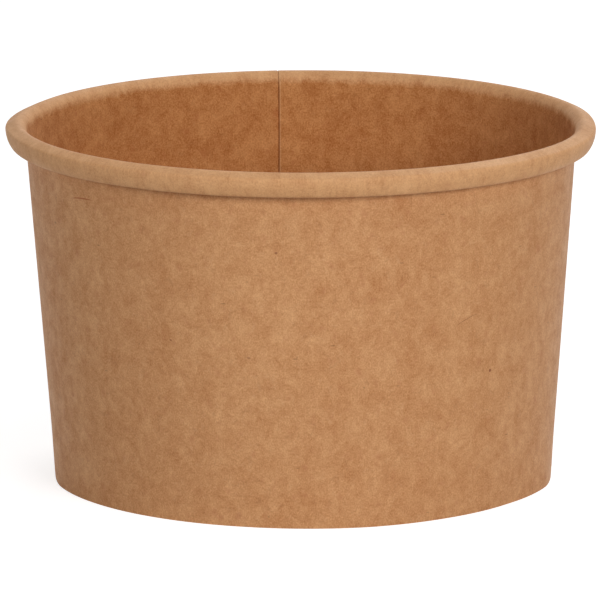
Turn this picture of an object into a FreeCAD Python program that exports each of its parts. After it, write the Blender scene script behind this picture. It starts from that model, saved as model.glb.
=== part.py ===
import FreeCAD, Part
import math
import os
from FreeCAD import Vector

# Paper ice cream tub: a lapped side wall with a rolled brim and a folded foot, and a base disc in the foot.
# Millimetres. +Z is up, the origin is at the centre of the foot where the tub stands, and the side seam
# is at the back, on the +Y side.

# Overall sizes
RIM_DIAMETER = 96.0
TUB_HEIGHT = 58.8
FOOT_DIAMETER = 81.1

# Board
WALL_BOARD = 0.38
BASE_BOARD = 0.35
FOLD_INSIDE_RADIUS = 0.05
BASE_BEND_INSIDE_RADIUS = 0.3

# Rolled brim: the board turns over the crest, slopes down to the edge, rolls under and comes back up
BRIM_WIDTH = 3.5
BRIM_DEPTH = 4.04
CREST_INSIDE_RADIUS = 0.96
EDGE_INSIDE_RADIUS = 0.18
UNDERSIDE_INSIDE_RADIUS = 0.43
HEEL_INSIDE_RADIUS = 0.7
CREST_SLOPE = 25.0
SIDE_TURN = 35.0
ROLL_GAP = 0.05

# Foot: the wall folds in and up into a hem, and the base disc's skirt stands in the fold
BASE_RECESS = 6.0
HEM_EDGE_GAP = 1.0
SKIRT_EDGE_GAP = 0.3
SEAL_GAP = 0.02

# Side seam: the board from the left laps over the board from the right, on the outside
SEAM_BEARING = 94.9
SEAM_SLIT = 0.2
LAP_WIDTH = 8.0
LAP_EASE = 14.0
LAP_END_GAP = 0.2

# Headings in the section plane, in degrees from straight out
LEVEL = 0.0
UP = 90.0
DOWN = -90.0
INWARD = -180.0
FULL_TURN = 360.0

AXIS = Vector(0, 0, 1)
CENTRE = Vector(0, 0, 0)


def direction(heading):
    """Unit vector in the section plane, where x is the radius and z the height."""
    angle = math.radians(heading)
    return Vector(math.cos(angle), 0, math.sin(angle))


def left_of(heading):
    """Unit vector square to a heading, on its left."""
    return direction(heading + UP)


class BoardPath:
    """The middle line of a sheet of board in the section plane, drawn by straight runs and bends."""

    def __init__(self, start, heading, board):
        self.start = start
        self.start_heading = heading
        self.point = start
        self.heading = heading
        self.board = board
        self.steps = []

    def run(self, length):
        """Go straight on."""
        end = self.point + direction(self.heading) * length
        self.steps.append({"kind": "run", "from": self.point, "to": end, "heading": self.heading})
        self.point = end

    def run_to(self, target):
        """Go straight on until level with a target point."""
        self.run((target - self.point).dot(direction(self.heading)))

    def bend(self, inside_radius, heading):
        """Turn to a new heading, at this radius on the inside of the bend."""
        side = 1.0 if heading > self.heading else -1.0
        reach = side * (inside_radius + self.board / 2)
        centre = self.point + left_of(self.heading) * reach
        turn = (self.heading, heading)
        self.steps.append({"kind": "bend", "centre": centre, "reach": reach, "headings": turn})
        self.point = centre - left_of(heading) * reach
        self.heading = heading

    def line_beside(self, shift):
        """The edges of the path, moved to its left by a shift."""
        edges = []
        for step in self.steps:
            if step["kind"] == "run":
                aside = left_of(step["heading"]) * shift
                edges.append(Part.LineSegment(step["from"] + aside, step["to"] + aside).toShape())
            else:
                first, last = step["headings"]
                reach = step["reach"] - shift
                through = (first, (first + last) / 2, last)
                points = [step["centre"] - left_of(angle) * reach for angle in through]
                edges.append(Part.Arc(*points).toShape())
        return edges

    def outline(self):
        """The closed outline of the sheet as a face in the section plane."""
        half = self.board / 2
        start_aside = left_of(self.start_heading) * half
        end_aside = left_of(self.heading) * half
        start_cap = Part.LineSegment(self.start - start_aside, self.start + start_aside).toShape()
        end_cap = Part.LineSegment(self.point + end_aside, self.point - end_aside).toShape()
        back = list(reversed(self.line_beside(-half)))
        return Part.Face(Part.Wire([start_cap] + self.line_beside(half) + [end_cap] + back))


def brim_turn(path, wall_heading, crest_centre):
    """Roll the board over the crest, down the edge, under, and one lap on inside the roll."""
    crest_outside = CREST_INSIDE_RADIUS + path.board
    edge_outside = EDGE_INSIDE_RADIUS + path.board
    underside_outside = UNDERSIDE_INSIDE_RADIUS + path.board
    slope = math.radians(CREST_SLOPE)
    side = math.radians(SIDE_TURN)
    shoulder = BRIM_WIDTH - crest_outside
    bends_out = crest_outside * math.sin(slope) + edge_outside * (1 - math.sin(slope))
    slope_run = (shoulder - bends_out) / math.cos(slope)
    bends_down = crest_outside * (1 - math.cos(slope)) + edge_outside * math.cos(slope)
    edge_drop = bends_down + slope_run * math.sin(slope)
    side_drop = BRIM_DEPTH - edge_drop - underside_outside * (1 - math.sin(side))
    side_outside = side_drop / math.sin(side)
    path.bend(CREST_INSIDE_RADIUS, -CREST_SLOPE)
    path.run(slope_run)
    path.bend(EDGE_INSIDE_RADIUS, DOWN)
    path.bend(side_outside - path.board, DOWN - SIDE_TURN)
    path.bend(UNDERSIDE_INSIDE_RADIUS, INWARD)
    lap = path.board + ROLL_GAP
    inner_radius = CREST_INSIDE_RADIUS - lap
    rise_line = crest_centre + left_of(wall_heading) * (inner_radius + path.board / 2)
    heel = HEEL_INSIDE_RADIUS + path.board / 2
    outward = left_of(wall_heading) * -1
    to_line = (path.point - rise_line).dot(outward)
    under_run = (to_line - heel * (1 - outward.z)) / outward.x
    path.run(under_run)
    path.bend(HEEL_INSIDE_RADIUS, wall_heading - FULL_TURN)
    path.run_to(rise_line)
    path.bend(inner_radius, LEVEL - FULL_TURN)


def side_wall_path():
    """The wall from the hem's edge, round the foot, up the side and round the brim, and its straight run."""
    half = WALL_BOARD / 2
    fold_outside = FOLD_INSIDE_RADIUS + WALL_BOARD
    crest_outside = CREST_INSIDE_RADIUS + WALL_BOARD
    fold_centre = Vector(FOOT_DIAMETER / 2 - fold_outside, 0, fold_outside)
    crest_centre = Vector(RIM_DIAMETER / 2 - BRIM_WIDTH + crest_outside, 0, TUB_HEIGHT - crest_outside)
    across = crest_centre - fold_centre
    reach = FOLD_INSIDE_RADIUS + CREST_INSIDE_RADIUS + WALL_BOARD
    heading = math.degrees(math.atan2(across.z, across.x) + math.asin(reach / across.Length))
    pocket = BASE_BOARD + 2 * SEAL_GAP
    flat = (pocket - 2 * FOLD_INSIDE_RADIUS) / math.sin(math.radians(heading))
    hem_bend = fold_centre - direction(LEVEL) * flat
    hem_foot = hem_bend - left_of(heading + INWARD) * (FOLD_INSIDE_RADIUS + half)
    hem_edge_height = BASE_RECESS - HEM_EDGE_GAP
    hem_run = (hem_edge_height - hem_foot.z) / direction(heading).z
    path = BoardPath(hem_foot + direction(heading) * hem_run, heading + INWARD, WALL_BOARD)
    path.run(hem_run)
    path.bend(FOLD_INSIDE_RADIUS, LEVEL)
    path.run(flat)
    path.bend(FOLD_INSIDE_RADIUS, heading)
    wall_foot = path.point
    path.run_to(crest_centre)
    brim_turn(path, heading, crest_centre)
    return path, wall_foot, heading


def bearing(degrees):
    """Unit vector along the floor at an angle round the tub, from +X."""
    angle = math.radians(degrees)
    return Vector(math.cos(angle), math.sin(angle), 0)


def seam_strip(section, heading, ease, lap):
    """The outer board at the seam: it eases out by one board's thickness, then lies on the wall.

    The ease is two arcs in plan, which turn by the same angle. The first is flatter than the wall and
    leaves it without a kink, and the second is tighter and brings the board round the tub again.
    """
    rise = WALL_BOARD / direction(heading).z
    axis_shift = rise / (2 * (1 - math.cos(math.radians(ease / 2))))
    start = SEAM_BEARING + ease
    leaving_axis = bearing(start) * -axis_shift
    joining_axis = bearing(SEAM_BEARING) * axis_shift
    face = section.copy()
    face.rotate(CENTRE, AXIS, start)
    arcs = [(leaving_axis, -ease / 2), (joining_axis, -ease / 2), (CENTRE, -lap)]
    sectors = []
    for axis_place, sweep in arcs:
        sectors.append(face.revolve(axis_place, AXIS, sweep))
        face.rotate(axis_place, AXIS, sweep)
    return sectors


def side_wall(path, wall_foot, heading):
    """The wall, slit at the seam's inner edge, with the sealed lap that covers the slit outside."""
    middle_radius = (RIM_DIAMETER + FOOT_DIAMETER) / 4
    slit = math.degrees(SEAM_SLIT / middle_radius)
    lap = math.degrees(LAP_WIDTH / middle_radius)
    ease = math.degrees(LAP_EASE / middle_radius)
    face = path.outline()
    face.rotate(CENTRE, AXIS, SEAM_BEARING + slit / 2)
    wall = face.revolve(CENTRE, AXIS, FULL_TURN - slit)
    strip = BoardPath(wall_foot, heading, WALL_BOARD)
    strip.run((TUB_HEIGHT - BRIM_DEPTH - LAP_END_GAP - wall_foot.z) / direction(heading).z)
    return wall.fuse(seam_strip(strip.outline(), heading, ease, lap))


def base_disc(wall_foot, heading):
    """The disc inside the foot, with its edge bent down into a skirt beside the wall."""
    skirt_heading = heading + INWARD
    aside = left_of(heading) * (WALL_BOARD / 2 + SEAL_GAP + BASE_BOARD / 2)
    beside = wall_foot + aside
    height = BASE_RECESS + BASE_BOARD / 2
    corner_radius = beside.x + (height - beside.z) * direction(heading).x / direction(heading).z
    bend_radius = BASE_BEND_INSIDE_RADIUS + BASE_BOARD / 2
    bend_start = corner_radius - bend_radius * math.tan(math.radians(-skirt_heading / 2))
    path = BoardPath(Vector(0, 0, height), LEVEL, BASE_BOARD)
    path.run(bend_start)
    path.bend(BASE_BEND_INSIDE_RADIUS, skirt_heading)
    skirt_edge_height = WALL_BOARD + SKIRT_EDGE_GAP
    path.run((path.point.z - skirt_edge_height) / direction(heading).z)
    return path.outline().revolve(CENTRE, AXIS, FULL_TURN)


def export(shape, node):
    """Write one node's solid, and say what it is."""
    solid = shape.Solids[0]
    solid.exportStep("parts/" + node + ".step")
    print(node, "solids", len(shape.Solids), "valid", solid.isValid(), "volume", round(solid.Volume, 2))


os.makedirs("parts", exist_ok=True)
wall_line, foot_point, wall_heading = side_wall_path()
export(side_wall(wall_line, foot_point, wall_heading), "side_wall")
export(base_disc(foot_point, wall_heading), "base_disc")
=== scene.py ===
# %% [markdown]
# # A kraft paper ice cream tub
#
# The tub is two pieces of paperboard. The side wall is one fan-shaped blank, wrapped into a cone, lapped on
# itself at a seam, rolled outward at the top into a brim and folded inward at the foot. The base is a disc
# with its edge bent down, which the folded foot holds. Nothing else is in it.
#
# This lesson dresses the measured model of that tub. The model gives every size. What is added here is what
# the eye reads as paper: the lap of the seam, crisp cut edges, walls that are a little out of round, and a
# board with fibres, flecks, soft clouds of colour and a dull sheen.

import math

import bpy
import numpy as np
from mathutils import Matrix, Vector


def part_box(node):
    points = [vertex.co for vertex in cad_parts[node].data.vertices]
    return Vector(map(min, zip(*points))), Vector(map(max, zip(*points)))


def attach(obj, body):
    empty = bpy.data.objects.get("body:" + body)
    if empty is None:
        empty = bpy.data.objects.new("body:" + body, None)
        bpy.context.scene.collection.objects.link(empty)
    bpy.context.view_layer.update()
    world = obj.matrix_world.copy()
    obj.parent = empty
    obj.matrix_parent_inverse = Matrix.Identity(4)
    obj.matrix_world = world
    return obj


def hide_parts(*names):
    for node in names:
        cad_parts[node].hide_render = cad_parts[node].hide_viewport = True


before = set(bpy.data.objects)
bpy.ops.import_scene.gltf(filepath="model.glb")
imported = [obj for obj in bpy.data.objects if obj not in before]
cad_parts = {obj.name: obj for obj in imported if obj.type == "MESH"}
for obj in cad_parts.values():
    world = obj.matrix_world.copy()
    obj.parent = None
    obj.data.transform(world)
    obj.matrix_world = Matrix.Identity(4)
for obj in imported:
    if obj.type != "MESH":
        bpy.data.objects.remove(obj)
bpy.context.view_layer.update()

# %% [markdown]
# ## Sizes
#
# Blender works in metres here, and paperboard is thinner than half a millimetre, so sizes are written in
# millimetres and multiplied by MM. The rim and the height come from the measured model itself, so that the
# dressed tub can't drift away from it. The rest are the sizes of the board and of its bends.

# %% Sizes of the tub and its board
MM = 0.001
wall_low, wall_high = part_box("side_wall")
disc_low, disc_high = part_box("base_disc")
RIM_RADIUS = wall_high.x
TUB_HEIGHT = wall_high.z
FOOT_RADIUS = 40.55 * MM
WALL_BOARD = 0.38 * MM
BASE_BOARD = 0.35 * MM
SEAL_GAP = 0.02 * MM
print("rim radius", round(RIM_RADIUS / MM, 2), "mm, height", round((TUB_HEIGHT - wall_low.z) / MM, 2), "mm")
print("base disc from", round(disc_low.z / MM, 2), "to", round(disc_high.z / MM, 2), "mm up")

# %% [markdown]
# ## Drawing a bent sheet
#
# A round tub is easiest to make from its section, the slice through one side. The section of a bent sheet is
# a middle line with the board's thickness either side of it. The middle line could be drawn by hand with a
# curve, but a real board only does two things: it runs straight, or it bends round a radius. So the line is
# drawn like a walk: run this far, then turn to this heading round this radius. Each place on the walk keeps
# its heading, which is what later gives the direction square to the board.

# %% A walk along the middle of a board
LEVEL, UP, DOWN, INWARD, FULL_TURN = 0.0, 90.0, -90.0, -180.0, 360.0


def direction(heading):
    """Unit vector (outward, up) of a heading in degrees."""
    angle = math.radians(heading)
    return np.array([math.cos(angle), math.sin(angle)])


def left_of(heading):
    """Unit vector square to a heading, on its left."""
    return direction(heading + UP)


class BoardWalk:
    """Places and headings along the middle of a board, in the plane of radius and height."""

    def __init__(self, start, heading, board):
        self.board = board
        self.places = [np.array(start, float)]
        self.headings = [heading]

    def run(self, length, pieces=1):
        """Go straight on, in this many equal pieces."""
        start = self.places[-1]
        for step in range(1, pieces + 1):
            self.places.append(start + direction(self.headings[-1]) * length * step / pieces)
            self.headings.append(self.headings[-1])

    def run_to(self, target, pieces=1):
        """Go straight on until level with a target."""
        self.run(float((target - self.places[-1]) @ direction(self.headings[-1])), pieces)

    def bend(self, inside_radius, heading, pieces):
        """Turn to a new heading, at this radius on the inside of the bend."""
        first = self.headings[-1]
        reach = math.copysign(inside_radius + self.board / 2, heading - first)
        centre = self.places[-1] + left_of(first) * reach
        for step in range(1, pieces + 1):
            turned = first + (heading - first) * step / pieces
            self.places.append(centre - left_of(turned) * reach)
            self.headings.append(turned)

    def arrays(self):
        """Places, the directions to the left of the walk, and the length walked so far."""
        places = np.array(self.places)
        lefts = np.array([left_of(heading) for heading in self.headings])
        steps = np.linalg.norm(np.diff(places, axis=0), axis=1)
        return places, lefts, np.concatenate([[0.0], np.cumsum(steps)])


print("left of a walk straight up is", left_of(UP).round(3), "which is into the tub")

# %% [markdown]
# ## The section of the side wall
#
# The walk starts at the hem's cut edge inside the foot, goes down the hem, round the foot in two tight
# folds, up the wall, over the crest of the brim and round the roll. The wall is the straight line that
# touches both the foot's fold and the crest's bend, so its slope isn't typed in: it follows from the two
# circles. It could also be read off the measured model, but two circles say why it is what it is.

# %% The slope of the wall
FOLD_INSIDE_RADIUS = 0.05 * MM
BRIM_WIDTH = 3.5 * MM
CREST_INSIDE_RADIUS = 0.96 * MM

fold_outside = FOLD_INSIDE_RADIUS + WALL_BOARD
crest_outside = CREST_INSIDE_RADIUS + WALL_BOARD
fold_centre = np.array([FOOT_RADIUS - fold_outside, fold_outside])
crest_centre = np.array([RIM_RADIUS - BRIM_WIDTH + crest_outside, TUB_HEIGHT - crest_outside])
across = crest_centre - fold_centre
both_reaches = FOLD_INSIDE_RADIUS + CREST_INSIDE_RADIUS + WALL_BOARD
wall_heading = math.degrees(
    math.atan2(across[1], across[0]) + math.asin(both_reaches / np.linalg.norm(across))
)
print("the wall leans out by", round(UP - wall_heading, 2), "degrees")

# %% [markdown]
# ## The brim
#
# A hot tool curls the top of the board outward and round into itself, which stiffens the rim and gives a
# lid something to grip. A solid ring would look much the same from above. The roll is drawn whole here,
# because its heel is round and leaves a narrow wedge beside the wall, which takes a real shadow. The
# outside isn't a plain circle: the top slopes, and the side turns in towards the underside.

# %% Roll the brim
BRIM_DEPTH = 4.04 * MM
EDGE_INSIDE_RADIUS = 0.18 * MM
UNDERSIDE_INSIDE_RADIUS = 0.43 * MM
HEEL_INSIDE_RADIUS = 0.7 * MM
CREST_SLOPE = 25.0
SIDE_TURN = 35.0
ROLL_GAP = 0.05 * MM


def brim_roll(walk):
    """Over the crest, down the sloping top, round the edge, under, and back up inside the roll."""
    edge_outside = EDGE_INSIDE_RADIUS + WALL_BOARD
    underside_outside = UNDERSIDE_INSIDE_RADIUS + WALL_BOARD
    slope, side = math.radians(CREST_SLOPE), math.radians(SIDE_TURN)
    bends_out = crest_outside * math.sin(slope) + edge_outside * (1 - math.sin(slope))
    slope_run = (BRIM_WIDTH - crest_outside - bends_out) / math.cos(slope)
    bends_down = crest_outside * (1 - math.cos(slope)) + edge_outside * math.cos(slope)
    side_drop = BRIM_DEPTH - bends_down - slope_run * math.sin(slope)
    side_outside = (side_drop - underside_outside * (1 - math.sin(side))) / math.sin(side)
    walk.bend(CREST_INSIDE_RADIUS, -CREST_SLOPE, pieces=14)
    walk.run(slope_run, pieces=3)
    walk.bend(EDGE_INSIDE_RADIUS, DOWN, pieces=7)
    walk.bend(side_outside - WALL_BOARD, DOWN - SIDE_TURN, pieces=7)
    walk.bend(UNDERSIDE_INSIDE_RADIUS, INWARD, pieces=6)
    inner_radius = CREST_INSIDE_RADIUS - WALL_BOARD - ROLL_GAP
    rise_line = crest_centre + left_of(wall_heading) * (inner_radius + WALL_BOARD / 2)
    heel = HEEL_INSIDE_RADIUS + WALL_BOARD / 2
    outward = -left_of(wall_heading)
    to_line = (walk.places[-1] - rise_line) @ outward
    walk.run((to_line - heel * (1 - outward[1])) / outward[0], pieces=2)
    walk.bend(HEEL_INSIDE_RADIUS, wall_heading - FULL_TURN, pieces=9)
    walk.run_to(rise_line, pieces=2)
    walk.bend(inner_radius, LEVEL - FULL_TURN, pieces=7)


print("brim of", round(BRIM_WIDTH / MM, 2), "mm wide and", round(BRIM_DEPTH / MM, 2), "mm deep")

# %% [markdown]
# ## The whole walk
#
# The foot of a tub is folded inward and up, and the skirt of the base disc stands in that fold. So the fold
# is as wide inside as the disc's board and a seal on each side of it. A bend is drawn in pieces of five to
# twenty degrees. The wall could be one long piece, but it is cut every millimetre and a half, so that it can
# follow the unevenness that comes later.

# %% Walk the side wall
HEM_EDGE_HEIGHT = 5.0 * MM

pocket = BASE_BOARD + 2 * SEAL_GAP
foot_flat = (pocket - 2 * FOLD_INSIDE_RADIUS) / math.sin(math.radians(wall_heading))
hem_foot = fold_centre - direction(LEVEL) * foot_flat
hem_foot = hem_foot - left_of(wall_heading + INWARD) * (FOLD_INSIDE_RADIUS + WALL_BOARD / 2)
hem_run = (HEM_EDGE_HEIGHT - hem_foot[1]) / direction(wall_heading)[1]
wall_walk = BoardWalk(hem_foot + direction(wall_heading) * hem_run, wall_heading + INWARD, WALL_BOARD)
wall_walk.run(hem_run, pieces=5)
wall_walk.bend(FOLD_INSIDE_RADIUS, LEVEL, pieces=5)
wall_walk.run(foot_flat)
corner_start_step = len(wall_walk.places) - 1
wall_walk.bend(FOLD_INSIDE_RADIUS, wall_heading, pieces=8)
wall_foot = wall_walk.places[-1]
wall_foot_step = len(wall_walk.places) - 1
wall_walk.run_to(crest_centre, pieces=36)
wall_top_step = len(wall_walk.places) - 1
brim_roll(wall_walk)
wall_places, wall_lefts, wall_lengths = wall_walk.arrays()
print("side wall section:", len(wall_places), "places,", round(wall_lengths[-1] / MM, 1), "mm of board")

# %% [markdown]
# ## One sheet wrapped on itself
#
# A full ring would be simpler, but it has no seam. The real blank goes once round and then a little further,
# so that its end lies over its beginning. The sheet here does the same. It starts at the inner cut edge,
# which faces left in the back wall, goes once round, eases outward and ends in the outer cut edge.
#
# The columns stand evenly round the tub, and closer together where the sheet does something small: at its
# two cut edges, and beside them, where one layer steps down to the other.

# %% Where the columns stand
INNER_EDGE_BEARING = 95.35
LAP_WIDTH = 8.0 * MM
EASE_WIDTH = 7.0 * MM
GROOVE_WIDTH = 0.22 * MM
NEAR_EDGE = 0.04 * MM
COLUMNS_ROUND = 240
LAP_COLUMNS = 12
GROOVE_COLUMNS = 5
MIDDLE_RADIUS = (RIM_RADIUS + FOOT_RADIUS) / 2

lap_angle = math.degrees(LAP_WIDTH / MIDDLE_RADIUS)
ease_angle = math.degrees(EASE_WIDTH / MIDDLE_RADIUS)
groove_angle = math.degrees(GROOVE_WIDTH / MIDDLE_RADIUS)


def sheet_turns():
    """How far round the sheet each column stands, in degrees from the inner cut edge."""
    near = math.degrees(NEAR_EDGE / MIDDLE_RADIUS)
    even = np.linspace(0, FULL_TURN, COLUMNS_ROUND + 1)
    lap = np.linspace(FULL_TURN, FULL_TURN + lap_angle, LAP_COLUMNS + 1)
    inner_edge = [near, 3 * near, FULL_TURN - 3 * near, FULL_TURN + 3 * near]
    outer_edge = [FULL_TURN + lap_angle - 3 * near, FULL_TURN + lap_angle - near]
    groove = np.linspace(0, groove_angle, GROOVE_COLUMNS + 1)
    grooves = [FULL_TURN - groove, lap_angle + groove]
    return np.unique(np.concatenate([even, lap, inner_edge, outer_edge, *grooves]).round(6))


sheet_turn = sheet_turns()
print("side wall: sheet of", len(sheet_turn), "columns, lap of", round(lap_angle, 2), "degrees")

# %% [markdown]
# ## Two layers in the lap
#
# Each place on the sheet gets two numbers: how far its middle is shifted off the plain cone, and how thick
# the board is there. In the wall the two layers lie on each other at full thickness, the inner one standing
# a little into the tub. In the brim and the fold the press has squeezed both into the thickness of one. The
# two states fade into each other over a few millimetres of wall.

# %% Shift and thickness in the lap
GLUE_GAP = 0.02 * MM
INNER_SHARE = 0.6
PRESSED_FADE = 2.5 * MM
lift = WALL_BOARD + GLUE_GAP


def smooth(value):
    """0 below 0, 1 above 1, and an even curve between."""
    value = np.clip(value, 0.0, 1.0)
    return value * value * (3 - 2 * value)


def layer_places(turns, lengths):
    """Shift of the board's middle to the inside, and half its thickness, for each column and place."""
    along = lengths[None, :]
    turn = turns[:, None]
    foot_length, top_length = wall_lengths[wall_foot_step], wall_lengths[wall_top_step]
    pressed = 1 - smooth((along - foot_length) / PRESSED_FADE) * smooth((top_length - along) / PRESSED_FADE)
    is_inner = turn < FULL_TURN / 2
    full_ease = lap_angle + ease_angle
    over = turn - FULL_TURN
    inner_shift = lift * INNER_SHARE * (1 - smooth(turn / full_ease))
    under_shift = lift * INNER_SHARE * (1 - smooth(np.clip(over, 0, None) / full_ease)) - lift
    outer = smooth((over + ease_angle) / ease_angle)
    loose_shift = np.where(is_inner, inner_shift, under_shift * outer)
    inner_thinned = 1 - smooth((turn - lap_angle) / groove_angle)
    outer_thinned = smooth((over + groove_angle) / groove_angle)
    thinned = np.where(is_inner, inner_thinned, outer_thinned) * pressed
    side = np.where(is_inner, 1.0, -1.0)
    quarter = WALL_BOARD / 4
    shift = loose_shift * (1 - pressed) + side * quarter * thinned
    half = WALL_BOARD / 2 - (quarter + GLUE_GAP / 2) * thinned
    return shift, half


shift_in, half_board = layer_places(sheet_turn, wall_lengths)
print("board in the lap, thinnest", round(2 * half_board.min() / MM, 2), "mm, where it is pressed")

# %% [markdown]
# ## A little out of round
#
# A turned metal ring is round to a hair, and a paper tub isn't. This one leans by a third of a millimetre,
# its rim is pushed to one side by up to half a millimetre, and its foot stands a few tenths in or out here
# and there. Each could be a bend modifier on the finished piece. One function of the place is simpler, and
# both pieces get their unevenness from it, so they stay together.

# %% Hand-made unevenness
LEAN = 0.35 * MM
LEAN_AT_TOP = -0.2 * MM
RIM_SIDE_PUSH = -0.06 * MM
RIM_BACK_PUSH = 0.55 * MM
RIM_FRONT_PUSH = 0.26 * MM
RIM_FADE = 45.0 * MM
RIM_TURN = 0.4
FOOT_BEARINGS = [-180, -165, -145, -125, -105, -75, -55, -35, -15, 0]
FOOT_OUT_OF_ROUND = [0.0, 0.45, 0.03, -0.17, -0.15, 0.33, -0.08, -0.18, 0.5, 0.0]
FOOT_FADE = 10.0 * MM
BELLY_FOOT_FADE = 12.0 * MM
BELLY_TOP_FADE = 10.0 * MM
WALL_WAVE = 0.05 * MM

# Waves round the tub, where they start in radians, and their share
WALL_WAVES = [(7, 0.6, 1.0), (11, 2.1, 0.7)]


def uneven(points):
    """Points moved as a pressed paper tub is out of round."""
    x, y, z = points[..., 0], points[..., 1], points[..., 2]
    radius = np.hypot(x, y)
    angle = np.arctan2(y, x)
    low = 1 - z / TUB_HEIGHT
    rim = smooth((z - (TUB_HEIGHT - RIM_FADE)) / RIM_FADE)
    push = np.where(y > 0, RIM_BACK_PUSH, RIM_FRONT_PUSH) * smooth(np.abs(y) / RIM_RADIUS / RIM_TURN)
    aside = LEAN_AT_TOP + LEAN * low + rim * (RIM_SIDE_PUSH + push)
    waves = sum(share * np.cos(count * angle + start) for count, start, share in WALL_WAVES)
    belly = smooth(z / BELLY_FOOT_FADE) * smooth((TUB_HEIGHT - z) / BELLY_TOP_FADE)
    foot = np.interp(np.degrees(angle), FOOT_BEARINGS, FOOT_OUT_OF_ROUND, period=FULL_TURN) * MM
    grow = WALL_WAVE * waves * belly + foot * smooth(1 - z / FOOT_FADE)
    grow = grow * np.minimum(radius / FOOT_RADIUS, 1.0) ** 2
    moved = points.copy()
    moved[..., 0] = x + aside + grow * np.cos(angle)
    moved[..., 1] = y + grow * np.sin(angle)
    return moved


centre_top = uneven(np.array([[0.0, 0.0, TUB_HEIGHT]]))[0]
print("the middle of the rim stands", round(centre_top[0] / MM, 2), "mm aside")

# %% [markdown]
# ## From numbers to a mesh
#
# Both pieces are a grid of places: columns round the tub, and rows along the board, first up one side of the
# board and then back down the other. Neighbours in the grid make the faces. Making the grid in code gives
# clean four-sided faces, and it gives each corner its place on the flat board, in metres, which is kept as
# the UV map. The paper's fibres and flecks are drawn on that map, so they follow the board round its bends.
# The inside face is put one metre away from the outside face on the map, and the cut edges one metre the
# other way. So the two faces don't share their flecks, and a material can tell which face it is on.

# %% Places in space
def both_sides(places, lefts, shift, half):
    """Radii and heights up the left side of the board and back down its right side."""
    middle = places[None] + lefts[None] * shift[..., None]
    left = middle + lefts[None] * half[..., None]
    right = middle - lefts[None] * half[..., None]
    loop = np.concatenate([left, right[:, ::-1]], axis=1)
    return loop[..., 0], loop[..., 1]


def ring_grid(turns, radii, heights):
    """Places in the tub's own space for columns of radius and height."""
    angle = np.radians(INNER_EDGE_BEARING - turns)[:, None]
    x, y = radii * np.cos(angle), radii * np.sin(angle)
    return np.stack(np.broadcast_arrays(x, y, heights), axis=-1)


print("the sheet starts at", INNER_EDGE_BEARING, "degrees and goes round clockwise, seen from above")

# %% Faces and their map
INSIDE_AWAY = 1.0
CUT_EDGE_AWAY = -1.0


def grid_faces(columns, rows, closed):
    """Four corners for each face of a grid, and caps on the cut edges where the sheet isn't closed."""
    here = np.arange(columns if closed else columns - 1)
    ahead = (here + 1) % columns
    row = np.arange(rows)
    above = (row + 1) % rows
    quads = np.stack([
        here[:, None] * rows + row[None, :],
        here[:, None] * rows + above[None, :],
        ahead[:, None] * rows + above[None, :],
        ahead[:, None] * rows + row[None, :],
    ], axis=-1).reshape(-1, 4)
    if closed:
        return quads
    side = np.arange(rows // 2 - 1)
    far = rows - 1 - side
    cap = np.stack([side, side + 1, far - 1, far], axis=-1)
    return np.concatenate([quads, cap[:, ::-1], cap + (columns - 1) * rows])


def map_board(mesh, flat):
    """Write each corner's place on the flat board as a UV map, with the cut edges put aside."""
    board_map = mesh.uv_layers.new(name="board")
    corners = np.empty(len(mesh.loops), dtype=np.int32)
    mesh.loops.foreach_get("vertex_index", corners)
    places = flat.reshape(-1, 2)[corners].reshape(-1, 4, 2)
    across = places[..., 0]
    on_cut_edge = np.ptp(across, axis=1) > INSIDE_AWAY / 2
    outside_place = np.where(across > INSIDE_AWAY / 2, across - INSIDE_AWAY, across)
    places[..., 0] = np.where(on_cut_edge[:, None], outside_place + CUT_EDGE_AWAY, across)
    board_map.uv.foreach_set("vector", places.ravel())


def make_board(name, grid, flat, closed):
    """An object from a grid of places, and their places on the flat board."""
    mesh = bpy.data.meshes.new(name)
    faces = grid_faces(*grid.shape[:2], closed)
    mesh.from_pydata(grid.reshape(-1, 3).tolist(), [], faces.tolist())
    map_board(mesh, flat)
    mesh.validate()
    piece = bpy.data.objects.new(name, mesh)
    bpy.context.scene.collection.objects.link(piece)
    print(name, "has", len(mesh.polygons), "faces")
    return piece


print("on the map the inside is put", INSIDE_AWAY, "m aside and the cut edges", CUT_EDGE_AWAY, "m")

# %% [markdown]
# ## Corners that a press makes
#
# The walk bends the board round clean radii. A press does more at three places. It squares off the outside
# of the foot's fold, it eases the inner corner of the brim's crest out and down, and a knife leaves a cut
# edge with its corners just broken. These could be bevels, but the rows of the grid are known, so they are
# moved where they are wanted.

# %% Soften and sharpen
CUT_CORNER = 0.03 * MM
FOLD_CRISPNESS = 0.85
CREST_EASE = 0.26 * MM
CREST_EASE_REACH = 2.6 * MM


def thin_ends(half, amount):
    """Half thicknesses, less by a little at the sheet's ends, which takes the corner off a cut edge."""
    half = half.copy()
    half[[0, -1]] -= amount
    half[:, [0, -1]] -= amount
    return half


def crisp_foot(radii, heights):
    """The outside of the foot's fold, pushed out towards the corner that a press makes of it."""
    steps = np.arange(corner_start_step, wall_foot_step + 1)
    turned = np.radians(np.array(wall_walk.headings)[steps])
    from_nearer_end = np.minimum(turned, turned[-1] - turned)
    push = FOLD_CRISPNESS * fold_outside * (1 / np.cos(from_nearer_end) - 1)
    rows = 2 * len(wall_lengths) - 1 - steps
    radii[:, rows] -= wall_lefts[steps, 0] * push
    heights[:, rows] -= wall_lefts[steps, 1] * push


def soft_crest(radii, heights):
    """The wall eased over into the brim, which presses the crest's inner corner out and down."""
    apart = np.hypot(radii - (RIM_RADIUS - BRIM_WIDTH), heights - TUB_HEIGHT)
    ease = CREST_EASE * smooth(1 - apart / CREST_EASE_REACH)
    radii += ease
    heights -= ease


print("cut corners are broken by", round(CUT_CORNER / MM, 2), "mm")
print("the crest is eased by up to", round(CREST_EASE / MM, 2), "mm each way")

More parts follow.
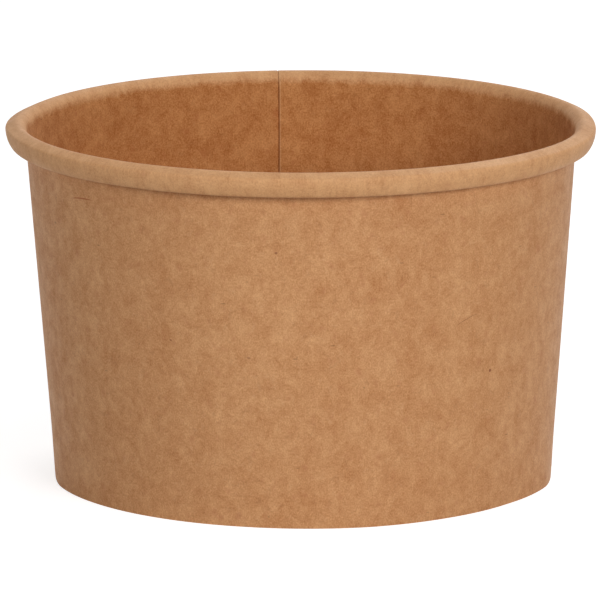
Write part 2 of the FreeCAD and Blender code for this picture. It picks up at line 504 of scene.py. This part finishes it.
# %% [markdown]
# ## The side wall
#
# Everything about the wall is known now: its section, its columns, the layers of its lap and the corners
# that the press changes. Modifiers could add each of them in turn, but a grid that is right from the start
# needs none. The steps come in the order in which a real blank meets them: it is cut, rolled and folded,
# pressed, and last of all it goes out of round.

# %% Make the side wall
radii, heights = both_sides(wall_places, wall_lefts, shift_in, thin_ends(half_board, CUT_CORNER))
crisp_foot(radii, heights)
soft_crest(radii, heights)
wall_grid = uneven(ring_grid(sheet_turn, radii, heights))
round_lengths = np.radians(sheet_turn) * MIDDLE_RADIUS
flat_round = np.repeat(round_lengths[:, None], 2 * len(wall_lengths), axis=1)
flat_round[:, : len(wall_lengths)] += INSIDE_AWAY
flat_along = np.tile(np.concatenate([wall_lengths, wall_lengths[::-1]]), (len(sheet_turn), 1))
side_wall = make_board("tub_side_wall", wall_grid, np.stack([flat_round, flat_along], axis=-1), closed=False)

# %% [markdown]
# ## The base disc
#
# The disc is a second, smaller walk: out from the middle, round one bend, and down the skirt between the
# wall and the hem. It is set in from the wall by the seal between them. Its middle could be one flat face,
# but rings of faces shade more evenly, and they let the disc follow the tub's unevenness as the wall does.
# The walk starts a hair out from the middle, which leaves a pinhole a tenth of a millimetre wide, too small
# to see.

# %% Walk the base disc
BASE_RECESS = 6.0 * MM
BASE_BEND_INSIDE_RADIUS = 0.3 * MM
SKIRT_EDGE_HEIGHT = 0.68 * MM
DISC_EYE_RADIUS = 0.05 * MM

skirt_aside = left_of(wall_heading) * (WALL_BOARD / 2 + SEAL_GAP + BASE_BOARD / 2)
skirt_place = wall_foot + skirt_aside
disc_height = BASE_RECESS + BASE_BOARD / 2
wall_lean = direction(wall_heading)[0] / direction(wall_heading)[1]
disc_corner = skirt_place[0] + (disc_height - skirt_place[1]) * wall_lean
bend_radius = BASE_BEND_INSIDE_RADIUS + BASE_BOARD / 2
skirt_heading = wall_heading + INWARD
bend_start = disc_corner - bend_radius * math.tan(math.radians(-skirt_heading / 2))
disc_walk = BoardWalk([DISC_EYE_RADIUS, disc_height], LEVEL, BASE_BOARD)
disc_walk.run(bend_start - DISC_EYE_RADIUS, pieces=28)
disc_walk.bend(BASE_BEND_INSIDE_RADIUS, skirt_heading, pieces=7)
disc_walk.run((disc_walk.places[-1][1] - SKIRT_EDGE_HEIGHT) / direction(wall_heading)[1], pieces=6)
disc_places, disc_lefts, disc_lengths = disc_walk.arrays()
print("base disc: a round of", round(2 * (disc_lengths[-1] + DISC_EYE_RADIUS) / MM, 1), "mm before its bend")

# %% Make the base disc
DISC_COLUMNS = 180

disc_turn = np.linspace(0, FULL_TURN, DISC_COLUMNS, endpoint=False)
disc_shape = (len(disc_turn), len(disc_lengths))
disc_half = np.full(disc_shape, BASE_BOARD / 2)
radii, heights = both_sides(disc_places, disc_lefts, np.zeros(disc_shape), disc_half)
disc_grid = uneven(ring_grid(disc_turn, radii, heights))
disc_flat = disc_grid[..., :2].copy()
disc_flat[:, : len(disc_lengths), 0] += INSIDE_AWAY
base_disc = make_board("tub_base_disc", disc_grid, disc_flat, closed=True)

# %% [markdown]
# ## Smooth bends and crisp cuts
#
# Smooth shading hides the faces of a bend, but it would also smear light round a cut edge, which on board is
# sharp. So edges where the surface turns by more than a set angle are marked sharp, and the rest are smooth.

# %% Shade the two pieces
CRISP_ANGLE = 40.0
for piece in (side_wall, base_disc):
    piece.data.shade_smooth()
    piece.data.set_sharp_from_angle(angle=math.radians(CRISP_ANGLE))
print("edges that turn by more than", CRISP_ANGLE, "degrees are crisp")

# %% [markdown]
# ## Kraft board
#
# Kraft board is brown pulp pressed flat. Seen close it is mottled like felt, with long fibres, a few dark
# flecks and soft bands of colour. It could be done with a photograph of paper, but a picture tiles, and it
# has light baked into it. Here each layer is a noise pattern at its real size in millimetres, and the layers
# are mixed one over the other.
#
# A material is a tree of nodes. The helpers below write that tree in short lines: one adds a node, one fills
# an input with a number or with another node's output, and the rest are arithmetic and mixing.

# %% Node helpers
def add_node(tree, kind, **settings):
    """A node with its settings."""
    node = tree.nodes.new(kind)
    for name, value in settings.items():
        setattr(node, name, value)
    return node


def feed(tree, node, label, value):
    """Give a node's input either a plain value or another node's output."""
    socket = node.inputs[label]
    if isinstance(value, bpy.types.NodeSocket):
        tree.links.new(value, socket)
    else:
        socket.default_value = value


def calculate(tree, operation, first, second=0.0):
    """One step of arithmetic."""
    node = add_node(tree, "ShaderNodeMath", operation=operation)
    feed(tree, node, 0, first)
    feed(tree, node, 1, second)
    return node.outputs[0]


def between(tree, value, low, high, out_low=0.0, out_high=1.0):
    """A value remapped from one range to another, with soft ends."""
    node = add_node(tree, "ShaderNodeMapRange", interpolation_type="SMOOTHSTEP")
    for label, number in (("Value", value), ("From Min", low), ("From Max", high),
                          ("To Min", out_low), ("To Max", out_high)):
        feed(tree, node, label, number)
    return node.outputs["Result"]


# A mix node has inputs of the same name for numbers and for colours, so its colours are reached by number
MIX_COLOURS = (6, 7)
MIX_RESULT = 2


def tint(tree, under, over, amount, blend="MIX"):
    """One colour laid over another, or multiplied into it, by an amount from 0 to 1."""
    node = add_node(tree, "ShaderNodeMix", data_type="RGBA", blend_type=blend)
    feed(tree, node, "Factor", amount)
    for label, colour in zip(MIX_COLOURS, (under, over)):
        feed(tree, node, label, colour)
    return node.outputs[MIX_RESULT]


# %% [markdown]
# ## Patterns in the pulp
#
# Three patterns make paper. Clouds are plain noise at a given size. Fibres are thin curved lines: where a
# noise crosses its middle value it does so along such lines, so a narrow band round that value draws them.
# Flecks are dots on a net of random cells, with only some of the cells chosen. Each pattern reads the
# board's places in millimetres and stands on a sheet of noise of its own, so none repeats another.

# %% Clouds, fibres and flecks
def stretched(tree, places, across, along, seed):
    """The board's places in units of a pattern's own size, on a sheet of noise of its own."""
    scaled = add_node(tree, "ShaderNodeVectorMath", operation="MULTIPLY_ADD")
    feed(tree, scaled, 0, places)
    feed(tree, scaled, 1, (1 / across, 1 / along, 1.0))
    feed(tree, scaled, 2, (0.0, 0.0, seed))
    return scaled.outputs["Vector"]


def cloudy(tree, places, across, along, seed, detail=2.0, roughness=0.5, curl=0.0):
    """Noise from 0 to 1 whose blots are about this large."""
    node = add_node(tree, "ShaderNodeTexNoise", noise_dimensions="3D")
    for label, value in (("Vector", stretched(tree, places, across, along, seed)), ("Scale", 1.0),
                         ("Detail", detail), ("Roughness", roughness), ("Distortion", curl)):
        feed(tree, node, label, value)
    return node.outputs["Fac"]


def fibres(tree, places, size, width, share, seed):
    """Thin curved lines, where a noise crosses its middle value, broken up by a second noise."""
    field = cloudy(tree, places, size, size, seed, detail=1.0, curl=0.8)
    off_line = calculate(tree, "ABSOLUTE", calculate(tree, "SUBTRACT", field, 0.5))
    on_line = between(tree, off_line, width, 0.0)
    breaks = cloudy(tree, places, size * 0.7, size * 0.7, seed + 0.5, detail=0.0)
    return calculate(tree, "MULTIPLY", on_line, between(tree, breaks, 1 - share, 1.08 - share))


def flecks(tree, places, across, along, reach, share, seed):
    """Small dots, one in some of the cells of a net whose cells are this large."""
    node = add_node(tree, "ShaderNodeTexVoronoi", voronoi_dimensions="3D")
    feed(tree, node, "Vector", stretched(tree, places, across, along, seed))
    feed(tree, node, "Scale", 1.0)
    dot = between(tree, node.outputs["Distance"], reach, reach * 0.4)
    chance = add_node(tree, "ShaderNodeSeparateColor")
    feed(tree, chance, "Color", node.outputs["Color"])
    chosen = calculate(tree, "LESS_THAN", chance.outputs["Red"], share)
    return calculate(tree, "MULTIPLY", dot, chosen)


# %% [markdown]
# ## How deep the brown is
#
# One number, the tone, says how deep or pale the pulp is at each place. It adds up the felt-like mottling,
# which has about the same strength at every size from four millimetres down to a quarter of one, the soft
# bands that run up the board, and the grain. A single noise could do for all three, but the bands are much
# longer than they are wide. The inside shows a little more contrast.

# %% Tone of the pulp
def srgb(red, green, blue):
    """A colour picked on a screen, from 0 to 255, as the linear light that a shader wants."""
    screen = np.array([red, green, blue]) / 255
    linear = np.where(screen <= 0.04045, screen / 12.92, ((screen + 0.055) / 1.055) ** 2.4)
    return (*linear.tolist(), 1.0)


MOTTLING = 1.5
BANDING = 0.3
GRAIN = 1.0
INSIDE_CONTRAST = 1.35

# Size of each pattern across and along the board, in millimetres
MOTTLING_SIZE = (3.6, 4.2)
BAND_SIZE = (8.0, 90.0)
GRAIN_SIZE = (0.24, 0.3)


def pulp_tone(tree, places, inside, seed):
    """How deep (0) or pale (1) the pulp is, with the mottling and the finest grain on their own."""
    mottling = cloudy(tree, places, *MOTTLING_SIZE, seed + 1, detail=4.0, roughness=0.9, curl=0.3)
    bands = cloudy(tree, places, *BAND_SIZE, seed + 2, detail=1.5)
    grain = cloudy(tree, places, *GRAIN_SIZE, seed + 3, detail=1.0, roughness=0.6)
    tone = 0.0
    for layer, strength in ((mottling, MOTTLING), (bands, BANDING), (grain, GRAIN)):
        part = calculate(tree, "MULTIPLY", calculate(tree, "SUBTRACT", layer, 0.5), strength)
        tone = calculate(tree, "ADD", part, tone)
    contrast = between(tree, inside, 0.0, 1.0, 1.0, INSIDE_CONTRAST)
    tone = calculate(tree, "ADD", calculate(tree, "MULTIPLY", tone, contrast), 0.5)
    return tone, mottling, grain


print("mottling, bands and grain have strengths of", MOTTLING, BANDING, GRAIN)

# %% [markdown]
# ## The browns of the pulp
#
# The tone picks a colour between a deep and a pale brown. One brown made lighter and darker would look
# painted, because on kraft board the deep places are redder as well. So there are two browns, with small
# redder blots, fibres and flecks laid over them.

# %% Pulp, fibres and flecks
KRAFT_DEEP = srgb(181, 118, 69)
KRAFT_PALE = srgb(227, 174, 124)
KRAFT_RED = srgb(190, 124, 84)
FIBRE_DARK = srgb(140, 86, 50)
FIBRE_PALE = srgb(228, 188, 146)
FLECK = srgb(98, 58, 34)
RED_BLOTS = 0.5
DARK_FIBRES = 0.15
PALE_FIBRES = 0.12
FLECKS = 0.35

# Blots: size across and along in millimetres, and the noise at which they start and are full
BLOT_SIZE = (1.6, 2.0)
BLOT_RANGE = (0.58, 0.78)

# Fibres: size of the noise in millimetres, width of the band, and share of the line that is drawn
DARK_FIBRE_LINES = (2.4, 0.035, 0.42)
PALE_FIBRE_LINES = (1.7, 0.04, 0.45)

# Flecks: size of a cell across and along in millimetres, reach, and share of the cells that have one
DOT_CELLS = (4.0, 4.0, 0.055, 0.3)
SLIVER_CELLS = (6.0, 1.6, 0.09, 0.2)


def pulp_colour(tree, places, tone, seed):
    """The colour of the plain pulp at a tone, with its red blots, fibres and flecks."""
    colour = tint(tree, KRAFT_DEEP, KRAFT_PALE, tone)
    blots = between(tree, cloudy(tree, places, *BLOT_SIZE, seed + 5), *BLOT_RANGE, 0.0, RED_BLOTS)
    colour = tint(tree, colour, KRAFT_RED, blots)
    dark = fibres(tree, places, *DARK_FIBRE_LINES, seed + 6)
    colour = tint(tree, colour, FIBRE_DARK, calculate(tree, "MULTIPLY", dark, DARK_FIBRES))
    pale = fibres(tree, places, *PALE_FIBRE_LINES, seed + 8)
    colour = tint(tree, colour, FIBRE_PALE, calculate(tree, "MULTIPLY", pale, PALE_FIBRES))
    dots = flecks(tree, places, *DOT_CELLS, seed + 10)
    slivers = flecks(tree, places, *SLIVER_CELLS, seed + 12)
    either = calculate(tree, "MAXIMUM", dots, slivers)
    return tint(tree, colour, FLECK, calculate(tree, "MULTIPLY", either, FLECKS))


print("deep brown as linear light:", [round(part, 3) for part in KRAFT_DEEP[:3]])

# %% [markdown]
# ## Marks with places of their own
#
# Noise gives the right crowd of fibres, but a few marks on this tub stand out from the crowd: one long
# reddish fibre under the brim on the left, a thinner one on the right, and four flecks. They are placed one
# by one. A mapping node turns and scales the board so that a mark becomes a round spot at the middle, and a
# spot is easy to draw. A little of the length squared, added to the width, makes a fibre sag.

# %% Lone fibres and flecks
MARK_BROWN = srgb(132, 66, 40)
MARK_RED = srgb(168, 84, 42)

# Colour, then millimetres round and along the board, length, width, turn in radians, sag and strength
LONE_MARKS = [
    (MARK_RED, 183.8, 56.25, 6.8, 0.3, -0.08, 1.7, 0.7),
    (MARK_BROWN, 114.5, 38.0, 5.0, 0.2, -0.35, 1.6, 0.45),
    (MARK_BROWN, 108.4, 28.75, 0.7, 0.6, 0.0, 0.0, 0.8),
    (MARK_BROWN, 165.8, 35.3, 0.6, 0.4, 0.5, 0.0, 0.5),
    (MARK_BROWN, 147.4, 50.7, 0.6, 0.5, 0.0, 0.0, 0.6),
    (MARK_BROWN, 152.1, 33.35, 0.8, 0.45, 0.4, 0.0, 0.45),
]


def lone_mark(tree, places, across, along, length, width, turn, sag, strength):
    """One fibre or fleck at a place of its own on the board, turning and sagging."""
    moved = add_node(tree, "ShaderNodeMapping", vector_type="TEXTURE")
    feed(tree, moved, "Vector", places)
    feed(tree, moved, "Location", (across, along, 0.0))
    feed(tree, moved, "Rotation", (0.0, 0.0, turn))
    feed(tree, moved, "Scale", (length / 2, width / 2, 1.0))
    parts = add_node(tree, "ShaderNodeSeparateXYZ")
    feed(tree, parts, 0, moved.outputs["Vector"])
    lengthwise = calculate(tree, "MULTIPLY", parts.outputs["X"], parts.outputs["X"])
    sideways = calculate(tree, "ADD", parts.outputs["Y"], calculate(tree, "MULTIPLY", lengthwise, sag))
    apart = calculate(tree, "ADD", lengthwise, calculate(tree, "MULTIPLY", sideways, sideways))
    return between(tree, apart, 1.0, 0.3, 0.0, strength)


print(len(LONE_MARKS), "marks are placed by hand")

# %% [markdown]
# ## Inside, brim and seam
#
# The inside is painted a shade deeper and warmer than the outside. That is painted shade, for the shade in
# the tub and the light that bounces round in it. The brim is paler and yellower: partly its own colour from
# the hot tool that rolled it, and partly painted light, which starts a millimetre below the crest, where
# light from above brightens the roll. The line between the two could be ruled straight, but heat doesn't
# work like that, so the mottling makes it ragged. At the seam a fine pale line is a painted highlight, where
# the cut edge catches the light, and a fine dark line beside it is the painted shadow of the step, with a
# little glue. A cut edge shows the pulp itself, pale and rough.

# %% Finishes of the wall
# Partly the brim's own colour and partly painted light
BRIM_YELLOW_AND_LIGHT = srgb(229, 177, 126)
# Painted shade, multiplied into the inside of the board
INSIDE_PAINTED_SHADE = (0.83, 0.69, 0.52, 1.0)
BRIM_RAGGED = 2.0 * MM
BRIM_FADE_IN = (-1.0 * MM, 0.5 * MM)
BRIM_STREAKS = (0.32, 0.52)
STREAK_SIZE = (0.5, 5.0)
STREAK_RANGE = (0.3, 0.7)

# Distance from the sheet's end, reach and core, and strength of the two lines at the seam: a painted
# highlight, and a painted shadow with a little glue
SEAM_PAINTED_HIGHLIGHT = (0.14 * MM, 0.13 * MM, 0.04 * MM, 0.22)
SEAM_SHADOW_AND_GLUE = (-0.08 * MM, 0.17 * MM, 0.05 * MM, 0.2)


def brim_amount(tree, along, mottling, brim_starts):
    """0 on the wall and 1 on the brim, with a ragged line between."""
    ragged = calculate(tree, "MULTIPLY", calculate(tree, "SUBTRACT", mottling, 0.5), BRIM_RAGGED)
    ragged = calculate(tree, "ADD", along, ragged)
    fade_from, fade_to = BRIM_FADE_IN
    return between(tree, ragged, brim_starts + fade_from, brim_starts + fade_to)


def board_line(tree, across, sheet_end, line):
    """A fine line up the board beside an end of the sheet, full within its core and gone at its reach."""
    from_end, reach, core, strength = line
    apart = calculate(tree, "ABSOLUTE", calculate(tree, "SUBTRACT", across, sheet_end + from_end))
    return between(tree, apart, reach, core, 0.0, strength)


def wall_finish(tree, colour, places, across, on_brim, streaks):
    """Lone marks, brim yellow and painted light, and the seam's painted highlight and shadow, over the
    colour.
    """
    for mark_colour, *mark in LONE_MARKS:
        colour = tint(tree, colour, mark_colour, lone_mark(tree, places, *mark))
    # The brim's yellow: partly its own colour, partly painted light where light from above falls on the roll
    yellow_and_light = calculate(tree, "MULTIPLY", on_brim, between(tree, streaks, *STREAK_RANGE, *BRIM_STREAKS))
    colour = tint(tree, colour, BRIM_YELLOW_AND_LIGHT, yellow_and_light)
    # Painted highlight: a fine pale line where the inner cut edge catches the light
    colour = tint(tree, colour, FIBRE_PALE, board_line(tree, across, INSIDE_AWAY, SEAM_PAINTED_HIGHLIGHT))
    # Painted shadow beside the step at the seam, with a little glue: a fine dark line
    once_round = INSIDE_AWAY + math.radians(FULL_TURN) * MIDDLE_RADIUS
    return tint(tree, colour, FLECK, board_line(tree, across, once_round, SEAM_SHADOW_AND_GLUE))


# %% [markdown]
# ## The dullness of board
#
# Board is dull, but light does catch the felt of it. Real dents would need millions of faces, so a bump
# lifts the surface by a few hundredths of a millimetre in the shading alone. A small specular level and a
# breath of sheen are the same all over, so they are set on the shader's own sockets, and only the roughness
# varies: deep pulp is rougher, and the inside is rougher still.

# %% Felt and shine
GRAIN_HEIGHT = 0.008
MOTTLING_HEIGHT = 0.03
WRINKLE_HEIGHT = 0.008
MOTTLING_RANGE = (0.2, 0.8)
ROUGH_DEEP = 0.68
ROUGH_PALE = 0.5
INSIDE_ROUGHER = 0.3
KRAFT_IOR = 1.45
KRAFT_SPECULAR = 0.2
SHEEN = 0.05
SHEEN_ROUGHNESS = 0.5


def lift_surface(tree, shader, height):
    """A bump on the surface, from a height in millimetres."""
    bump = add_node(tree, "ShaderNodeBump")
    feed(tree, bump, "Strength", 1.0)
    feed(tree, bump, "Distance", MM)
    feed(tree, bump, "Height", height)
    feed(tree, shader, "Normal", bump.outputs["Normal"])


def make_dull(tree, shader, mottling, inside):
    """Roughness that goes with the mottling and is more inside, with a little shine and sheen."""
    roughness = between(tree, mottling, *MOTTLING_RANGE, ROUGH_DEEP, ROUGH_PALE)
    roughness = calculate(tree, "ADD", roughness, calculate(tree, "MULTIPLY", inside, INSIDE_ROUGHER))
    feed(tree, shader, "Roughness", roughness)
    shader.inputs["IOR"].default_value = KRAFT_IOR
    shader.inputs["Specular IOR Level"].default_value = KRAFT_SPECULAR
    shader.inputs["Sheen Weight"].default_value = SHEEN
    shader.inputs["Sheen Roughness"].default_value = SHEEN_ROUGHNESS


print("roughness from", ROUGH_PALE, "to", ROUGH_DEEP, "outside, and", INSIDE_ROUGHER, "more inside")

# %% [markdown]
# ## Putting the board together
#
# The wall and the base are cut from the same kind of board, so one function makes both materials, each on
# its own part of the noise. It reads the UV map first: where on the board is this place, and is it the
# inside, the outside or a cut edge? Then it mixes the colours in the order in which they lie on the board,
# and gives the same patterns to the bump.

# %% Mix the board
CUT_EDGE_PALE = srgb(216, 178, 138)
CUT_EDGE_AMOUNT = 0.7


def read_board(tree):
    """Places on the board in millimetres and in metres across and along, and if inside or on a cut edge."""
    board = add_node(tree, "ShaderNodeUVMap", uv_map="board").outputs["UV"]
    scaled = add_node(tree, "ShaderNodeVectorMath", operation="SCALE")
    feed(tree, scaled, 0, board)
    feed(tree, scaled, "Scale", 1 / MM)
    parts = add_node(tree, "ShaderNodeSeparateXYZ")
    feed(tree, parts, 0, board)
    across, along = parts.outputs["X"], parts.outputs["Y"]
    inside = calculate(tree, "GREATER_THAN", across, INSIDE_AWAY / 2)
    cut_edge = calculate(tree, "LESS_THAN", across, CUT_EDGE_AWAY / 2)
    return scaled.outputs["Vector"], across, along, inside, cut_edge


def kraft_board(name, seed, brim_starts=None):
    """The material of one sheet of board. A sheet with a brim also has its marks and its seam."""
    material = bpy.data.materials.new(name)
    material.use_nodes = True
    tree = material.node_tree
    shader = tree.nodes["Principled BSDF"]
    places, across, along, inside, cut_edge = read_board(tree)

    tone, mottling, grain = pulp_tone(tree, places, inside, seed)
    colour = pulp_colour(tree, places, tone, seed)
    height = calculate(tree, "MULTIPLY", grain, GRAIN_HEIGHT)
    height = calculate(tree, "ADD", height, calculate(tree, "MULTIPLY", mottling, MOTTLING_HEIGHT))
    shaded_inside = inside
    if brim_starts is not None:
        on_brim = brim_amount(tree, along, mottling, brim_starts)
        shaded_inside = calculate(tree, "MULTIPLY", inside, calculate(tree, "SUBTRACT", 1.0, on_brim))
    # Painted shade: the inside, off the brim, is multiplied a shade deeper and warmer
    colour = tint(tree, colour, INSIDE_PAINTED_SHADE, shaded_inside, blend="MULTIPLY")
    if brim_starts is not None:
        streaks = cloudy(tree, places, *STREAK_SIZE, seed + 14, roughness=0.6)
        colour = wall_finish(tree, colour, places, across, on_brim, streaks)
        wrinkles = calculate(tree, "MULTIPLY", streaks, on_brim)
        wrinkles = calculate(tree, "MULTIPLY", wrinkles, WRINKLE_HEIGHT)
        height = calculate(tree, "ADD", height, wrinkles)
    colour = tint(tree, colour, CUT_EDGE_PALE, calculate(tree, "MULTIPLY", cut_edge, CUT_EDGE_AMOUNT))
    feed(tree, shader, "Base Color", colour)
    lift_surface(tree, shader, height)
    make_dull(tree, shader, mottling, shaded_inside)
    print(name, "has", len(tree.nodes), "nodes")
    return material


# %% Put the board on the pieces
wall_kraft = kraft_board("kraft_wall_board", 0.0, brim_starts=wall_lengths[wall_top_step])
base_kraft = kraft_board("kraft_base_board", 50.0)
side_wall.data.materials.append(wall_kraft)
base_disc.data.materials.append(base_kraft)

# %% [markdown]
# ## Join the model
#
# Each dressed piece stands for the plain solid of the same piece, and rides with the tub's one body.

# %% Pieces ride and replace
for piece, node, slot in ((side_wall, "side_wall", "wall_board"), (base_disc, "base_disc", "base_board")):
    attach(piece, "root")
    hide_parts(node)
    print(piece.name, "stands for", node)

# %% [markdown]
# ## Floor
#
# The tub stands on a plain pale floor. A floor lit until it is white would throw its light back on the tub
# and wash it out. So the floor stays a middling grey to the light, which takes the tub's shadow, and glows
# just enough to the camera to read as white.

# %% A pale floor
FLOOR_SIZE = 4.0
FLOOR_PALE = 0.6
FLOOR_GLOW = 0.75


def seen_directly(tree):
    """1 for rays from the camera, from a reflection or through glass, and 0 for light falling on things."""
    path = add_node(tree, "ShaderNodeLightPath")
    seen = calculate(tree, "MAXIMUM", path.outputs["Is Camera Ray"], path.outputs["Is Glossy Ray"])
    return calculate(tree, "MAXIMUM", seen, path.outputs["Is Transmission Ray"])


floor_mesh = bpy.data.meshes.new("floor")
half_floor = FLOOR_SIZE / 2
floor_corners = [(-half_floor, -half_floor, 0), (half_floor, -half_floor, 0),
                 (half_floor, half_floor, 0), (-half_floor, half_floor, 0)]
floor_mesh.from_pydata(floor_corners, [], [(0, 1, 2, 3)])
floor = bpy.data.objects.new("floor", floor_mesh)
bpy.context.scene.collection.objects.link(floor)

floor_material = bpy.data.materials.new("pale_floor")
floor_material.use_nodes = True
tree = floor_material.node_tree
floor_shader = tree.nodes["Principled BSDF"]
floor_shader.inputs["Base Color"].default_value = (FLOOR_PALE, FLOOR_PALE, FLOOR_PALE, 1)
floor_shader.inputs["Roughness"].default_value = 1.0
floor_shader.inputs["Specular IOR Level"].default_value = 0.0
floor_shader.inputs["Emission Color"].default_value = (1, 1, 1, 1)
feed(tree, floor_shader, "Emission Strength", calculate(tree, "MULTIPLY", seen_directly(tree), FLOOR_GLOW))
floor_mesh.materials.append(floor_material)
print("floor of", FLOOR_SIZE, "m, paleness", FLOOR_PALE)

# %% [markdown]
# ## Light
#
# A photographer's white tent could be one bright world, but a bright world lights every side alike and the
# tub looks flat. Here the world gives a low, even light and looks white only to the camera. Four soft boxes
# do the rest: a key to the front right, a weaker fill to the front left, one behind that draws the far rim,
# and one high up that reaches into the tub.

# %% World
WORLD_LIGHT = 0.12
world = bpy.data.worlds.new("studio")
bpy.context.scene.world = world
world.use_nodes = True
tree = world.node_tree
background = tree.nodes["Background"]
background.inputs["Color"].default_value = (1, 1, 1, 1)
seen = seen_directly(tree)
strength = calculate(tree, "ADD", calculate(tree, "MULTIPLY", seen, 1 - WORLD_LIGHT), WORLD_LIGHT)
feed(tree, background, "Strength", strength)
print("world light", WORLD_LIGHT)

# %% Soft boxes
TUB_MIDDLE = Vector((0.0, 0.0, TUB_HEIGHT / 2))
LAMP_DISTANCE = 1.0

# Name, degrees round to the right of the front, degrees up, width and height in metres, and power in watts
SOFT_BOXES = [
    ("key_lamp", 30, 20, 0.55, 0.3, 4.95),
    ("fill_lamp", -50, 19, 0.6, 0.3, 2.12),
    ("back_lamp", 155, 45, 0.6, 0.4, 3.0),
    ("top_lamp", 20, 70, 0.5, 0.5, 1.3),
]


def soft_lamp(name, side, rise, width, height, power):
    """A soft box that faces the tub from a set distance."""
    light = bpy.data.lights.new(name, "AREA")
    light.shape = "RECTANGLE"
    light.size, light.size_y = width, height
    light.energy = power
    lamp = bpy.data.objects.new(name, light)
    round_angle, up_angle = math.radians(side), math.radians(rise)
    away = Vector((math.sin(round_angle) * math.cos(up_angle), -math.cos(round_angle) * math.cos(up_angle),
                   math.sin(up_angle)))
    lamp.location = TUB_MIDDLE + away * LAMP_DISTANCE
    lamp.rotation_euler = (-away).to_track_quat("-Z", "Y").to_euler()
    bpy.context.scene.collection.objects.link(lamp)
    print(name, power, "W")


for soft_box in SOFT_BOXES:
    soft_lamp(*soft_box)

# %% [markdown]
# ## Camera
#
# The far rim shows above the near one by a sixth of the picture, which only happens when the camera looks
# down by about twelve degrees. How much rounder the foot's curve looks than the rim's then gives the
# distance. The lens is long: its length is written in pixels of a 600-pixel picture, which is how it was
# fitted, and turned into millimetres of lens for Blender's 36 mm wide film.

# %% A long lens, looking down a little
CAMERA_DISTANCE = 1249.9 * MM
CAMERA_HEIGHT = 288.16 * MM
CAMERA_ASIDE = -0.35 * MM
CAMERA_PITCH = 11.725
FOCAL_PIXELS = 7815.0
PICTURE_PIXELS = 600.0
FILM_WIDTH = 36.0
FAR_LIMIT = 10.0

camera_data = bpy.data.cameras.new("camera")
camera_data.sensor_fit = "HORIZONTAL"
camera_data.sensor_width = FILM_WIDTH
camera_data.lens = FOCAL_PIXELS / PICTURE_PIXELS * FILM_WIDTH
camera_data.clip_end = FAR_LIMIT
camera = bpy.data.objects.new("camera", camera_data)
camera.location = (CAMERA_ASIDE, -CAMERA_DISTANCE, CAMERA_HEIGHT)
camera.rotation_euler = (math.radians(90 - CAMERA_PITCH), 0, 0)
bpy.context.scene.collection.objects.link(camera)
bpy.context.scene.camera = camera
bpy.context.scene.view_settings.view_transform = "Standard"
print("lens of", round(camera_data.lens), "mm, looking down by", CAMERA_PITCH, "degrees")
